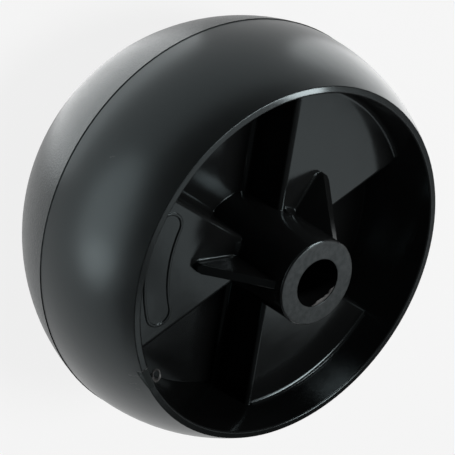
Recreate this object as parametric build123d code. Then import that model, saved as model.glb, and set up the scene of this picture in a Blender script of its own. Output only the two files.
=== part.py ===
from build123d import *
import math
import os

# Gauge wheel of a mower deck: one plastic moulding.
# The axle runs along Z, the parting plane of the mould is z = 0, and the ribbed raised sectors look up.
# Lengths are in millimetres and angles in degrees.

# Tread and rim
tread_diameter = 127.0      # over the crown, at the parting plane
tread_width = 62.4          # from one rim face to the other
rim_diameter = 106.0        # outer edge of a rim face
rim_face = 2.0              # width of the flat between tread and inner wall
parting_step = 0.2          # the upper half is moulded this much smaller in radius
wall_draft = 3.0            # lean of the inner wall
edge_break = 0.35           # broken inner edge of the rims and outer edge of the hub's ends

# Hub
hub_length = 79.5
hub_diameter = 25.3         # at the end faces
hub_draft = 1.5
bore_diameter = 14.3

# Web: six equal sectors, every second one raised towards the upper face
raised_sectors = 3
web_thickness = 7.0         # the low sectors lie midway on the parting plane
sector_level = 19.3         # upper side of a raised sector above the parting plane
side_draft = 1.5            # lean of the steps between the sectors
side_wall = 6.0             # thickness of those steps
side_round = 1.5            # round along the top of a step
hub_fillet = 2.0            # sector to hub
wall_fillet = 1.5           # sector to inner wall
floor_fillet = 2.0          # foot of a step

# Ribs: one gusset in the middle of every sector that stands towards its face
rib_thickness = 2.8
rib_reach = 27.3            # outer end, from the axis
rib_toe = 1.7               # height of the crest at the outer end
rib_drop = 2.9              # the crest meets the hub this far below the hub's end
rib_nose = 1.4              # width left at the outer end between its bevelled corners
rib_draft = 1.0
rib_fillet = 0.8

# Raised frame of the bare number plate, on one sector
plate_sector = 300.0        # direction of that sector
plate_radius = 39.0         # middle line of the plate
plate_width = 8.0
plate_span = 38.0           # angle between the centres of its round ends
plate_line = 0.7            # width of the frame's line
plate_height = 0.3

# Place on the upper rim where the sprue was trimmed off: a cut that runs out along the rim
nick_direction = 328.3
nick_length = 6.6
nick_depth = 1.3            # at its steep end

# Derived values
half_width = tread_width / 2
half_hub = hub_length / 2
half_web = web_thickness / 2
core_top = half_hub + 2.0                   # the cores stand clear of the hub's ends
sector_angle = 180.0 / raised_sectors
reach = tread_diameter                      # longer than anything it has to cut through
mouth_radius = rim_diameter / 2 - rim_face


def tan(angle):
    return math.tan(math.radians(angle))


def hub_radius(height):
    return hub_diameter / 2 + (half_hub - height) * tan(hub_draft)


def wall_radius(height):
    return mouth_radius - (half_width - height) * tan(wall_draft)


def turned(section):
    """A section drawn with the radius along X and the height along Y, turned about the axle."""
    return revolve(Plane.XZ * section, Axis.Z)


def corner(section, across):
    """The corners of a section that lie at one distance along X."""
    return section.vertices().filter_by(lambda v: abs(v.X - across) < 1e-6)


def tread_half(crown_radius):
    """Half of the solid drum: the zone of a ball between the parting plane and a rim face."""
    edge_radius = rim_diameter / 2
    centre = (edge_radius ** 2 + half_width ** 2 - crown_radius ** 2) / (2 * half_width)
    ball = Pos(0, 0, centre) * Sphere(math.hypot(crown_radius, centre))
    return ball & Pos(0, 0, half_width / 2) * Cylinder(tread_diameter, half_width)


def core_ring(floor, rounded):
    """The open ring between hub and inner wall, down to a floor; its corners may be rounded."""
    corners = [
        (hub_radius(floor), floor),
        (wall_radius(floor), floor),
        (wall_radius(half_width - edge_break), half_width - edge_break),
        (mouth_radius + edge_break, half_width),
        (mouth_radius + edge_break, core_top),
        (hub_diameter / 2 - edge_break, core_top),
        (hub_diameter / 2 - edge_break, half_hub),
        (hub_radius(half_hub - edge_break), half_hub - edge_break),
    ]
    section = make_face(Polyline(*corners, close=True))
    if rounded:
        section = fillet(corner(section, hub_radius(floor)), hub_fillet)
        section = fillet(corner(section, wall_radius(floor)), wall_fillet)
    return turned(section)


def step_side(level, floor, gap, rounded):
    """The space on the pocket's side of one step, its wall standing along the radius at angle 0."""
    foot = gap + (level - floor) * tan(side_draft)
    ledge = gap - 1.2 * side_round
    corners = [
        (foot, floor),
        (gap, level),
        (ledge, level),
        (ledge, core_top),
        (reach, core_top),
        (reach, floor),
    ]
    profile = make_face(Polyline(*corners, close=True))
    if rounded:
        profile = fillet(corner(profile, gap), side_round)
        profile = fillet(corner(profile, foot), floor_fillet)
    return extrude(Plane.YZ * profile, reach, both=True)


def rib(level, rounded):
    """A gusset along X that stands on a sector and leans against the hub."""
    half = rib_thickness / 2
    top = half_hub
    tip = half - (top - level) * tan(rib_draft)
    foot = half + 2 * rib_fillet
    corners = [
        (0, level - rib_fillet),
        (foot, level - rib_fillet),
        (foot, level),
        (half, level),
        (tip, top),
        (0, top),
    ]
    flank = make_face(Polyline(*corners, close=True))
    if rounded:
        flank = fillet(corner(flank, half), rib_fillet)
    body = extrude(Plane.YZ * (flank + mirror(flank, Plane.YZ)), rib_reach)
    crest = [
        (0, level - rib_fillet),
        (reach, level - rib_fillet),
        (reach, level + rib_toe),
        (rib_reach, level + rib_toe),
        (hub_diameter / 2, half_hub - rib_drop),
        (0, half_hub - rib_drop),
    ]
    body &= extrude(Plane.XZ * make_face(Polyline(*crest, close=True)), reach, both=True)
    plan = [
        (0, -foot),
        (rib_reach - foot, -foot),
        (rib_reach, -rib_nose / 2),
        (rib_reach, rib_nose / 2),
        (rib_reach - foot, foot),
        (0, foot),
    ]
    return body & extrude(make_face(Polyline(*plan, close=True)), reach)


def core(level, floor, gap, rounded):
    """All that is open on one face: a ring down to the standing sectors, and pockets between them."""
    open_ring = core_ring(level, rounded)
    deep_ring = core_ring(floor, False)
    side = step_side(level, floor, gap, rounded)
    pocket = deep_ring & (Rot(0, 0, -sector_angle / 2) * side)
    pocket &= Rot(0, 0, sector_angle / 2) * mirror(side, Plane.XZ)
    shape = open_ring
    for index in range(raised_sectors):
        shape += Rot(0, 0, (2 * index + 1) * sector_angle) * pocket
    return shape


def plate_frame():
    """The outline of the number plate, standing on its sector."""
    def outline(width):
        middle = CenterArc((0, 0), plate_radius, plate_sector - plate_span / 2, plate_span)
        return SlotArc(middle, width)
    line = outline(plate_width) - outline(plate_width - 2 * plate_line)
    return extrude(Pos(0, 0, sector_level) * line, plate_height)


def nick():
    """The wedge that the trimming took out of the rim, at angle 0."""
    corners = [
        (-nick_length / 2, half_width - nick_depth),
        (nick_length / 2, half_width),
        (nick_length / 2, core_top),
        (-nick_length / 2, core_top),
    ]
    inside = Plane.YZ.offset(wall_radius(sector_level) - rim_face)
    return extrude(inside * make_face(Polyline(*corners, close=True)), reach)


upper_core = Rot(0, 0, sector_angle) * core(sector_level, half_web, 0.0, True)
upper_core -= plate_frame()
lower_core = core(half_web, web_thickness - sector_level, side_wall, False)

wheel = tread_half(tread_diameter / 2 - parting_step)
wheel += Rot(180, 0, 0) * tread_half(tread_diameter / 2)
wheel += Cylinder(hub_radius(0), hub_length)
wheel -= upper_core
wheel -= Rot(180, 0, 0) * lower_core
for index in range(raised_sectors):
    wheel += Rot(0, 0, (2 * index + 1) * sector_angle) * rib(sector_level, True)
    wheel += Rot(180, 0, 2 * index * sector_angle) * rib(half_web, False)
wheel -= Cylinder(bore_diameter / 2, hub_length)
wheel -= Rot(0, 0, nick_direction) * nick()

os.makedirs("parts", exist_ok=True)
export_step(wheel, "parts/wheel.step")
print("volume", round(wheel.volume / 1000, 1), "cm3, box", wheel.bounding_box().size)
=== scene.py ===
# %% [markdown]
# # A deck wheel in black plastic
# The object is one moulding: a barrel-shaped wheel with a long hub, the kind that keeps a mower deck
# off the grass. The CAD part already has its true shape, so Blender's work here is the finish of the
# plastic, the small shreds that trimming left behind, and a studio that shows black on white.

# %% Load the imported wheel
import math

import bmesh
import bpy
from mathutils import Matrix, Quaternion, Vector


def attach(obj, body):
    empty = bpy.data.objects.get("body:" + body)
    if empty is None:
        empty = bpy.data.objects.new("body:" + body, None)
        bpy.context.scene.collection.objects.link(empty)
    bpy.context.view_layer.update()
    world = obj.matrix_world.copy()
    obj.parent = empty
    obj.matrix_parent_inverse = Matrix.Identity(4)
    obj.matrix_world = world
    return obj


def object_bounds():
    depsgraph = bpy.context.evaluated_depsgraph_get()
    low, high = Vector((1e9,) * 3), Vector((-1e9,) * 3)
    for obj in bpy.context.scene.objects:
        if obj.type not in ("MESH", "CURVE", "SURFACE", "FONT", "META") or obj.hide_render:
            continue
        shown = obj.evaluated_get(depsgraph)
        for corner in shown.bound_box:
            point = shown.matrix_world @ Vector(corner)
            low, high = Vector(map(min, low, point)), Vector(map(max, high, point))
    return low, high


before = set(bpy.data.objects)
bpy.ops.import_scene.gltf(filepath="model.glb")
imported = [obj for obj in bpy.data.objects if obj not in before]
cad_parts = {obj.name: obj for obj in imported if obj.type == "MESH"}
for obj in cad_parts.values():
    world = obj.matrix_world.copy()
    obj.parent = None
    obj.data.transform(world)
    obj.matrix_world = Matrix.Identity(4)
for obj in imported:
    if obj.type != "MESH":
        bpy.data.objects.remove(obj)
cad_box = [list(corner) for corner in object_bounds()]
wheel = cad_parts["wheel"]
print("wheel:", len(wheel.data.polygons), "faces, box", cad_box)

# %% [markdown]
# ## Shader sums in plain Python
# A finish is mostly arithmetic on places: how far from the axle, how high, how near to a scratch. Wiring
# Math nodes by hand hides that, so a small class wraps a socket and lets Python's own operators add the
# nodes. Every other node comes from one method, which sets its choices first and its sockets after.

# %% Value and Finish
class Value:
    """One output of a node, for use in sums."""

    def __init__(self, finish, socket):
        self.finish = finish
        self.socket = socket

    def out(self, name):
        return Value(self.finish, self.socket.node.outputs[name])

    def math(self, operation, first, second=0.0):
        return self.finish.node("Math", {"operation": operation}, {0: first, 1: second})

    def __add__(self, other):
        return self.math("ADD", self, other)

    def __radd__(self, other):
        return self.math("ADD", other, self)

    def __sub__(self, other):
        return self.math("SUBTRACT", self, other)

    def __rsub__(self, other):
        return self.math("SUBTRACT", other, self)

    def __mul__(self, other):
        return self.math("MULTIPLY", self, other)

    def __rmul__(self, other):
        return self.math("MULTIPLY", other, self)

    def __pow__(self, other):
        return self.math("POWER", self, other)

    def __abs__(self):
        return self.math("ABSOLUTE", self)

    def ease(self, low, high):
        """0 below low and 1 above high, or the other way round where low is the larger."""
        return self.finish.node("MapRange", {"interpolation_type": "SMOOTHSTEP"},
                                {"Value": self, "From Min": low, "From Max": high})


class Finish:
    """A material under construction."""

    def __init__(self, name):
        self.material = bpy.data.materials.new(name)
        self.material.use_nodes = True
        self.tree = self.material.node_tree
        self.shader = self.tree.nodes["Principled BSDF"]

    def plug(self, socket, value):
        if isinstance(value, Value):
            self.tree.links.new(value.socket, socket)
        else:
            socket.default_value = value

    def node(self, kind, settings=None, sockets=None, out=0):
        made = self.tree.nodes.new("ShaderNode" + kind)
        for name, value in (settings or {}).items():
            setattr(made, name, value)
        for name, value in (sockets or {}).items():
            self.plug(made.inputs[name], value)
        return Value(self, made.outputs[out])

    def mix(self, factor, first, second):
        """From the first colour to the second."""
        return self.node("Mix", {"data_type": "RGBA"}, {0: factor, 6: first, 7: second}, out=2)

    def noise(self, place, size, detail=3.0, roughness=0.55):
        """Cloudy grey from 0 to 1, with patches of about the given size."""
        return self.node("TexNoise", {}, {"Vector": place, "Scale": 1.0 / size, "Detail": detail,
                                          "Roughness": roughness})

    def wear(self, **sockets):
        """Plugs the shader's own sockets, named with _ for each blank."""
        for name, value in sockets.items():
            self.plug(self.shader.inputs[name.replace("_", " ")], value)


plastic = Finish("black_plastic_satin")
print("empty finish ready:", plastic.material.name)

# %% [markdown]
# ## Where a point lies on the wheel
# The CAD node sits at the origin with its axle along Z, so object coordinates are the drawing's own. In
# millimetres they give the distance from the axle and the height, and those two pick out every zone: the
# tread, its two halves and the trimmed ends of the hub.

# %% Zones of the wheel
place = plastic.node("VectorMath", {"operation": "SCALE"},
                     {0: plastic.node("TexCoord", out="Object"), "Scale": 1000.0})
height = plastic.node("SeparateXYZ", {}, {0: place}, out="Z")
from_axle = plastic.node("VectorMath", {"operation": "LENGTH"},
                         {0: plastic.node("VectorMath", {"operation": "MULTIPLY"}, {0: place, 1: (1, 1, 0)})},
                         out="Value")
on_tread = from_axle.ease(52.7, 53.1)
lower_half = height.ease(0.15, -0.15)
grained = on_tread * lower_half
parting = on_tread * abs(height).ease(0.22, 0.06)
hub_end = abs(height).ease(39.60, 39.70)
print("zones in use: tread, lower half, parting line, hub ends")

# %% [markdown]
# ## Where the nick is
# The sprue was trimmed off the rim with a slanting cut. In the shader it is a thin layer about a sloping
# plane: near that plane, within the cut's length, and out at the rim.

# %% Zone of the nick
rim_height = 31.2
nick_length = 6.6
nick_depth = 1.3
nick_turn = math.radians(328.3)
nick_out = (math.cos(nick_turn), math.sin(nick_turn), 0)
nick_along = (-math.sin(nick_turn), math.cos(nick_turn), 0)
outwards = plastic.node("VectorMath", {"operation": "DOT_PRODUCT"}, {0: place, 1: nick_out}, out="Value")
lengthways = plastic.node("VectorMath", {"operation": "DOT_PRODUCT"}, {0: place, 1: nick_along}, out="Value")
cut_height = rim_height - nick_depth / 2 + nick_depth / nick_length * lengthways
near_plane = abs(height - cut_height).ease(0.20, 0.08)
within_length = abs(lengthways).ease(nick_length / 2 + 0.1, nick_length / 2 - 0.1)
cut = near_plane * within_length * outwards.ease(45.0, 46.0)
print("nick of", nick_length, "mm at", round(math.degrees(nick_turn), 1), "degrees")

# %% [markdown]
# ## Colour
# Black plastic is never one black. It clouds a little where the melt cooled unevenly, the grained
# half of the tread scatters more light and looks greyer, and the ends of the hub were trimmed with a
# blade, which leaves a paler, blotchy face. The parting line is painted as a paler grey thread: a painted
# lightening over the dark that its small ledge mirrors.

# %% Base colour
clouds = plastic.noise(place, 14.0, 4.0)
colour = plastic.mix(clouds, (0.0036, 0.0039, 0.0040, 1), (0.0070, 0.0074, 0.0075, 1))
grit = plastic.noise(place, 0.50, 2.0)
colour = plastic.mix(grained * (0.35 + 0.5 * grit), colour, (0.026, 0.0265, 0.027, 1))
blotches = plastic.noise(place, 1.6, 5.0, 0.7)
colour = plastic.mix(hub_end * (0.15 + 0.85 * blotches.ease(0.3, 0.7)), colour, (0.034, 0.036, 0.037, 1))
# Painted light: the parting line is lifted to a paler grey, against the dark that its ledge mirrors.
colour = plastic.mix(parting * 0.7, colour, (0.020, 0.0205, 0.021, 1))
colour = plastic.mix(cut * (0.5 + 0.5 * blotches), colour, (0.008, 0.009, 0.0078, 1))
print("base colour: clouds, grain, hub ends, parting line, nick")

# %% [markdown]
# ## Scuffs and scratches
# Where the sprue was trimmed off the rim, the knife whitened the plastic beside the cut, and the tread has
# a few stray scratches. A scratch could be a thin mesh, but it has no height. Here it is a distance: the
# shader measures how far a point is from a short line and lightens what is nearer than the scratch's width.

# %% Scratches measured as distances
def along(finish, place, start, stop, width):
    """1 on the line from start to stop, fading to 0 at the given distance from it."""
    start = Vector(start)
    run = Vector(stop) - start
    offset = finish.node("VectorMath", {"operation": "SUBTRACT"}, {0: place, 1: start})
    share = finish.node("VectorMath", {"operation": "DOT_PRODUCT"}, {0: offset, 1: run}, out="Value")
    share = finish.node("Clamp", {}, {"Value": share * (1.0 / run.length_squared)})
    nearest = finish.node("VectorMath", {"operation": "SCALE"}, {0: run, "Scale": share})
    gap = finish.node("VectorMath", {"operation": "DISTANCE"}, {0: offset, 1: nearest}, out="Value")
    return gap.ease(width, 0.2 * width)


scratches = [
    ((46.0, -30.4, 27.2), (44.6, -29.4, 29.9), 0.55),
    ((48.4, -27.7, 26.2), (47.1, -27.5, 28.3), 0.40),
    ((48.9, -25.6, 27.4), (48.4, -25.4, 28.0), 0.55),
    ((43.5, -30.8, 31.1), (41.3, -29.4, 31.2), 0.45),
    ((41.3, -29.4, 31.2), (41.0, -30.2, 31.2), 0.30),
    ((-0.2, -61.3, 12.4), (-0.9, -61.0, 13.2), 0.25),
    ((-49.0, -21.8, 30.9), (-48.4, -23.0, 31.1), 0.35),
]
ragged = plastic.noise(place, 0.5, 3.0, 0.7).ease(0.35, 0.6)
scuffed = 0.0
for start, stop, width in scratches:
    scuffed = along(plastic, place, start, stop, width) + scuffed
scuffed = plastic.node("Clamp", {}, {"Value": scuffed * ragged})
colour = plastic.mix(scuffed, colour, (0.11, 0.112, 0.113, 1))
print("scratches:", len(scratches))

# %% [markdown]
# ## Gloss
# The upper half is smooth and the lower one has a fine grain. Roughness sets how far a reflection spreads:
# a low value keeps hub and ribs mirrored in the sectors, and a higher one turns the tread's reflections into
# soft glows. The grain itself is a bump, and a weak ripple keeps every reflection from looking ruled.

# %% Roughness and bump
film = plastic.noise(place, 9.0, 3.0)
moulded = 0.13 + 0.06 * film + 0.13 * on_tread + 0.06 * grained
gloss = moulded + 0.16 * hub_end + 0.10 * cut + 0.25 * scuffed
ripple = plastic.noise(place, 5.0, 2.0)
relief = 0.020 * ripple + 0.150 * grained * grit + 0.03 * hub_end * blotches - 0.02 * scuffed
soft_edges = plastic.node("Bevel", {"samples": 6}, {"Radius": 0.0004})
surface = plastic.node("Bump", {}, {"Strength": 1.0, "Distance": 0.001, "Height": relief,
                                    "Normal": soft_edges})
plastic.wear(Base_Color=colour, Roughness=gloss, Normal=surface)
plastic.wear(IOR=1.48, Specular_Tint=(0.80, 0.96, 1.0, 1))
wheel.data.materials.clear()
wheel.data.materials.append(plastic.material)
print("satin plastic on", wheel.name)

# %% [markdown]
# ## The burr in the bore
# The drill or core pin left a torn lip along part of the bore's edge. It is thin and ragged, so it is made
# as a strip of quads that follows the bore, with its inner edge pulled in by listed amounts and a small
# thickness given by a Solidify modifier.

# %% Burr
def strip(name, rows):
    """A sheet of quads through rows of points, all rows of one length, in millimetres."""
    mesh = bpy.data.meshes.new(name)
    bm = bmesh.new()
    grid = [[bm.verts.new(Vector(point) / 1000.0) for point in row] for row in rows]
    for near, far in zip(grid, grid[1:]):
        for left, right in zip(range(len(near)), range(1, len(near))):
            bm.faces.new((near[left], near[right], far[right], far[left]))
    bmesh.ops.recalc_face_normals(bm, faces=bm.faces)
    bm.to_mesh(mesh)
    bm.free()
    piece = bpy.data.objects.new(name, mesh)
    bpy.context.scene.collection.objects.link(piece)
    return piece


def thicken(piece, thickness, smooth=2):
    solid = piece.modifiers.new("thickness", "SOLIDIFY")
    solid.thickness = thickness / 1000.0
    solid.offset = 0.0
    round_off = piece.modifiers.new("round", "SUBSURF")
    round_off.levels = smooth
    round_off.render_levels = smooth
    for face in piece.data.polygons:
        face.use_smooth = True


bore_radius = 7.15
burr_height = 39.38
burr_reach = [(26, 0.05), (33, 0.35), (39, 0.6), (44, 1.15), (50, 1.0), (56, 1.3), (63, 1.0), (69, 0.85),
              (74, 1.15), (78, 0.5), (84, 0.7), (91, 0.95), (97, 0.4), (103, 0.05)]
rows = []
for degrees, reach in burr_reach:
    a = math.radians(degrees)
    sag = 0.25 * reach
    row = []
    for inwards, lift in ((-0.25, -0.03), (0.0, 0.04), (0.5 * reach, 0.0), (reach, -sag)):
        radius = bore_radius - inwards
        row.append((radius * math.cos(a), radius * math.sin(a), burr_height + lift))
    rows.append(row)
burr = strip("bore_burr", rows)
thicken(burr, 0.28)
print("burr along the bore from", burr_reach[0][0], "to", burr_reach[-1][0], "degrees")

# %% [markdown]
# ## The shaving by the rim
# Beside the trimmed nick a shaving still hangs on the rim's inner edge, curled into a ring. A curve with a
# round bevel would look like wire, so it is a ribbon: one row of points inside and one outside a loop that
# closes in on itself, thickened like the burr. The ring lies in a slanting plane, with one axis that climbs
# inwards from the rim and one that runs along it.

# %% Curl of swarf
turns = 1.35
steps = 30
outward = Vector(nick_out)
sideways = Vector(nick_along)
upright = Vector((0, 0, 1))
climbing = (upright * 0.58 - outward * 0.77 + sideways * 0.28).normalized()
rimwards = (outward * 0.55 + sideways * 0.74 + upright * 0.37).normalized()
lean = climbing.cross(rimwards)
centre = Vector((42.75, -25.0, 30.3))
rows = []
for step in range(steps + 1):
    share = step / steps
    a = math.radians(160) - turns * 2 * math.pi * share
    size = 1.45 - 0.35 * share
    spoke = climbing * (0.80 * math.cos(a)) + rimwards * (1.10 * math.sin(a))
    band = 0.34 + 0.09 * math.sin(5 * a)
    spot = centre + spoke * size + lean * (0.9 * share - 0.3)
    tilt = lean * (0.16 * math.cos(2 * a))
    rows.append([spot - spoke * band - tilt, spot + spoke * band + tilt])
curl = strip("rim_shaving", rows)
thicken(curl, 0.25)
print("shaving of", turns, "turns")

# %% [markdown]
# ## Finish of the shreds
# Torn plastic is paler and duller than moulded plastic: stretching whitens it. The shreds get a near-black
# with a cloudy grey over it and a rougher surface. The shaving was stretched most, so it is the paler one.

# %% Torn plastic
def torn_plastic(name, dark, pale):
    """Dull plastic that clouds from a dark to a pale grey."""
    torn = Finish(name)
    torn_place = torn.node("VectorMath", {"operation": "SCALE"},
                           {0: torn.node("TexCoord", out="Object"), "Scale": 1000.0})
    stretch = torn.noise(torn_place, 0.8, 3.0, 0.7)
    grey = torn.mix(stretch.ease(0.35, 0.75), (dark, dark, dark, 1), (pale, pale, 0.98 * pale, 1))
    torn.wear(Base_Color=grey, Roughness=0.38 + 0.2 * stretch,
              Normal=torn.node("Bump", {}, {"Strength": 0.6, "Distance": 0.0002, "Height": stretch}))
    return torn.material


burr.data.materials.append(torn_plastic("black_plastic_torn", 0.012, 0.04))
curl.data.materials.append(torn_plastic("black_plastic_stretched", 0.03, 0.13))
for piece in (burr, curl):
    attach(piece, "root")
print("torn plastic on", burr.name, "and", curl.name)

# %% [markdown]
# ## Floor
# The wheel stands on the lower end of its hub. The floor is a wide white sheet. To stay white in the
# picture without flooding the wheel with lamps, its material is part paint, which takes the shadow, and
# part plain white for rays from the camera and from glossy surfaces.

# %% White floor
white_share = 0.85
ground = cad_box[0][2]
bpy.ops.mesh.primitive_grid_add(x_subdivisions=8, y_subdivisions=8, size=30.0, location=(0, 0, ground))
floor = bpy.context.object
floor.name = "floor"
paper = Finish("white_paper")
paper.wear(Base_Color=(0.82, 0.82, 0.82, 1), Roughness=0.9)
path = paper.node("LightPath", out="Is Camera Ray")
seen = path + path.out("Is Glossy Ray") + path.out("Is Transmission Ray")
glow = paper.node("Emission", {}, {"Color": (1, 1, 1, 1), "Strength": 1.0}, out="Emission")
paint = Value(paper, paper.shader.outputs[0])
sheet = paper.node("MixShader", {}, {0: seen * white_share, 1: paint, 2: glow})
paper.tree.links.new(sheet.socket, paper.tree.nodes["Material Output"].inputs["Surface"])
floor.data.materials.append(paper.material)
print("floor at", floor.location.z)

# %% [markdown]
# ## Light
# A black satin object is drawn by what it mirrors, so each lamp is placed for one thing that it draws. The
# key lamp stands high over one side, lights wheel and floor, and finds the fillets round hub and ribs. A
# softbox stands where the flat sectors look, so that they turn grey beside the black pockets, and a small
# one next to it does the same for the near rim. A tiny lamp close over the rim puts the pale patch on one
# pocket floor. The tread looks down at the floor, so panels just above the floor make its soft glows. The
# world hardly fills in.

# %% Lamps and world
def soft_lamp(name, place, aim, size, brightness, turn=0.0):
    """An oval lamp, in millimetres; brightness 1 looks as white as paper in a mirror."""
    light = bpy.data.lights.new(name, "AREA")
    light.shape = "ELLIPSE"
    light.size = size[0] / 1000.0
    light.size_y = size[1] / 1000.0
    light.energy = brightness * math.pi * math.pi * light.size * light.size_y / 4
    lamp = bpy.data.objects.new(name, light)
    bpy.context.scene.collection.objects.link(lamp)
    facing = (Vector(place) - Vector(aim)).to_track_quat("Z", "Y")
    lamp.rotation_euler = (facing @ Quaternion((0, 0, 1), math.radians(turn))).to_euler()
    lamp.location = Vector(place) / 1000.0
    lamp.visible_camera = False
    return lamp


def around(azimuth, elevation, distance):
    """A place seen from the wheel at these angles."""
    a = math.radians(azimuth)
    e = math.radians(elevation)
    level = distance * math.cos(e)
    return (level * math.cos(a), level * math.sin(a), distance * math.sin(e))


middle = (0, 0, 20)
soft_lamp("key_lamp", around(150, 68, 1000), middle, (360, 360), 15.0)
soft_lamp("sector_softbox", (-26, 262, 303), middle, (170, 180), 0.88)
soft_lamp("rim_softbox", (105, 232, 325), middle, (90, 50), 0.9)
soft_lamp("pocket_glint", (-44, -16, 61), (-9, -9, 13), (36, 12), 14.0)
soft_lamp("left_panel", (117, -276, -4), (99, -234, 160), (300, 270), 1.6)
soft_lamp("left_round", (118.7, -152.9, -6.9), (23.2, -54.0, 19.8), (50, 50), 1.9)
soft_lamp("back_panel", (-190, 80, -36), (-190, 80, 0), (210, 200), 1.5)
soft_lamp("near_panel", (-28, -76, -36), (-28, -76, 0), (110, 60), 1.7, turn=15)
world_fill = 0.05
world = bpy.data.worlds.new("studio")
world.use_nodes = True
background = world.node_tree.nodes["Background"]
background.inputs["Color"].default_value = (1, 1, 1, 1)
background.inputs["Strength"].default_value = world_fill
bpy.context.scene.world = world
bpy.context.scene.view_settings.view_transform = "Standard"

# %% [markdown]
# ## Camera
# The photograph was taken with the wheel standing on its tread, and this wheel stands on its hub, so the
# camera has the same place and angle relative to the wheel, which tips it over against the floor. Its three
# axes were fitted to the outlines of rim, hub and bore.

# %% Camera
camera = bpy.data.objects.new("camera", bpy.data.cameras.new("camera"))
bpy.context.scene.collection.objects.link(camera)
right = Vector((-0.52344, 0.62381, 0.58040))
back = Vector((-0.01998, -0.68998, 0.72357))
right = (right - back * right.dot(back)).normalized()
stand = Matrix((right, back.cross(right), back)).transposed().to_4x4()
stand.translation = (-0.0060, -0.22526, 0.2341)
camera.matrix_world = stand
camera.data.sensor_width = 36.0
camera.data.lens = 86.0
camera.data.clip_start = 0.01
bpy.context.scene.camera = camera
print("camera at", [round(v, 4) for v in camera.location])
